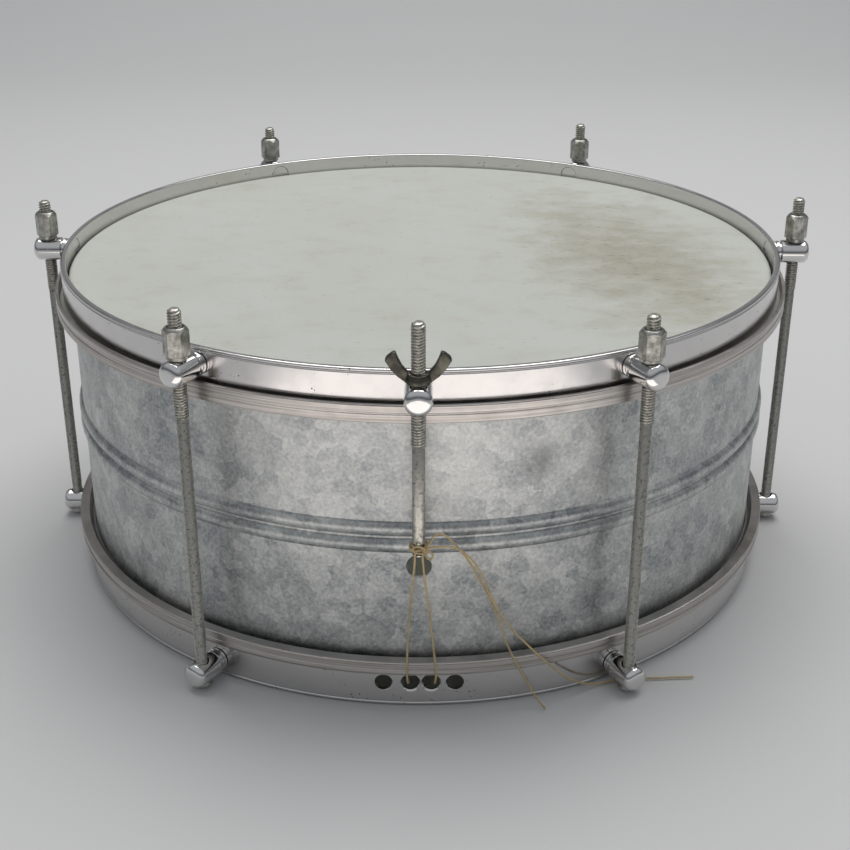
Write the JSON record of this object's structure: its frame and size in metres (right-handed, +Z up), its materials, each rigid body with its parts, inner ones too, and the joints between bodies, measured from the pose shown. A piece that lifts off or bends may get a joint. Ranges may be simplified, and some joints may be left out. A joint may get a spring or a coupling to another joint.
{
  "type": "snare drum",
  "caption": "Metal-shelled snare drum with plain counterhoops on round posts, tension rods with hex nuts, and a cord snare drawn tight by a threaded rod and wing nut.",
  "frame": {"origin": "on the floor under the centre of the drum's box, which lies about 8 mm in front of the drum's axis because the snare rod's post stands out at the front", "axes": "+Z up out of the batter head, -Y towards the wing nut, +X to the right seen from the wing nut"},
  "size_m": [0.4018, 0.3866, 0.1867],
  "materials": {
    "shell_zinc": "mottled oxidised plating, satin, fine scratches",
    "hoop_plating": "bright plating with small pits",
    "flesh_hoop_aluminium": "drawn, fine grooves along the ring",
    "post_chrome": "polished plating",
    "screw_plating": "dull plating",
    "rod_plating": "worn plating with dark speckle",
    "nut_plating": "dull yellowed plating",
    "wing_nut_bronze": "dark olive patina",
    "batter_film": "coated film with wear marks",
    "snare_film": "thin hazy film",
    "waxed_twine": "waxed twisted cord"
  },
  "bodies": {
    "drum": {"shell": "shell_zinc", "batter_head": "batter_film", "snare_head": "snare_film", "batter_flesh_hoop": "flesh_hoop_aluminium", "snare_flesh_hoop": "flesh_hoop_aluminium", "batter_counterhoop": "hoop_plating", "snare_counterhoop": "hoop_plating", "snare_rod_post": "post_chrome", "snare_rod_post_screw": "screw_plating", "snare_cord": "waxed_twine", "cord_tail_a": "waxed_twine", "cord_tail_b": "waxed_twine", "batter_post_1": "post_chrome", "snare_side_post_1": "post_chrome", "batter_post_screw_1": "screw_plating", "snare_side_post_screw_1": "screw_plating", "tension_rod_1": "rod_plating", "batter_post_2": "post_chrome", "snare_side_post_2": "post_chrome", "batter_post_screw_2": "screw_plating", "snare_side_post_screw_2": "screw_plating", "tension_rod_2": "rod_plating", "batter_post_3": "post_chrome", "snare_side_post_3": "post_chrome", "batter_post_screw_3": "screw_plating", "snare_side_post_screw_3": "screw_plating", "tension_rod_3": "rod_plating", "batter_post_4": "post_chrome", "snare_side_post_4": "post_chrome", "batter_post_screw_4": "screw_plating", "snare_side_post_screw_4": "screw_plating", "tension_rod_4": "rod_plating", "batter_post_5": "post_chrome", "snare_side_post_5": "post_chrome", "batter_post_screw_5": "screw_plating", "snare_side_post_screw_5": "screw_plating", "tension_rod_5": "rod_plating", "batter_post_6": "post_chrome", "snare_side_post_6": "post_chrome", "batter_post_screw_6": "screw_plating", "snare_side_post_screw_6": "screw_plating", "tension_rod_6": "rod_plating"},
    "snare_rod": {"snare_rod": "rod_plating"},
    "wing_nut": {"wing_nut": "wing_nut_bronze"},
    "tension_nut_1": {"tension_nut_1": "nut_plating"},
    "tension_nut_2": {"tension_nut_2": "nut_plating"},
    "tension_nut_3": {"tension_nut_3": "nut_plating"},
    "tension_nut_4": {"tension_nut_4": "nut_plating"},
    "tension_nut_5": {"tension_nut_5": "nut_plating"},
    "tension_nut_6": {"tension_nut_6": "nut_plating"}
  },
  "joints": [
    {"name": "tension_nut_1_turn", "type": "hinge", "parent": "drum", "child": "tension_nut_1", "pos_m": [-0.09879, -0.15868, 0.1674], "axis": [0, 0, 1], "range_deg": [-360, 720]},
    {"name": "tension_nut_2_turn", "type": "hinge", "parent": "drum", "child": "tension_nut_2", "pos_m": [-0.19349, 0.01006, 0.1674], "axis": [0, 0, 1], "range_deg": [-360, 720]},
    {"name": "tension_nut_3_turn", "type": "hinge", "parent": "drum", "child": "tension_nut_3", "pos_m": [-0.0947, 0.17644, 0.1674], "axis": [0, 0, 1], "range_deg": [-360, 720]},
    {"name": "tension_nut_4_turn", "type": "hinge", "parent": "drum", "child": "tension_nut_4", "pos_m": [0.09879, 0.17408, 0.1674], "axis": [0, 0, 1], "range_deg": [-360, 720]},
    {"name": "tension_nut_5_turn", "type": "hinge", "parent": "drum", "child": "tension_nut_5", "pos_m": [0.19349, 0.00534, 0.1674], "axis": [0, 0, 1], "range_deg": [-360, 720]},
    {"name": "tension_nut_6_turn", "type": "hinge", "parent": "drum", "child": "tension_nut_6", "pos_m": [0.0947, -0.16104, 0.1674], "axis": [0, 0, 1], "range_deg": [-360, 720]},
    {"name": "wing_nut_turn", "type": "hinge", "parent": "drum", "child": "wing_nut", "pos_m": [0, -0.1858, 0.164], "axis": [0, 0, 1], "range_deg": [-720, 720]},
    {"name": "snare_rod_travel", "type": "slide", "parent": "drum", "child": "snare_rod", "axis": [0, 0, 1], "range_m": [-0.0025, 0.0025], "deforming": ["snare_cord", "cord_tail_a", "cord_tail_b"]}
  ],
  "couplings": [
    {"joint": "wing_nut_turn", "follows": "snare_rod_travel", "rad_per_m": -5026.5}
  ]
}
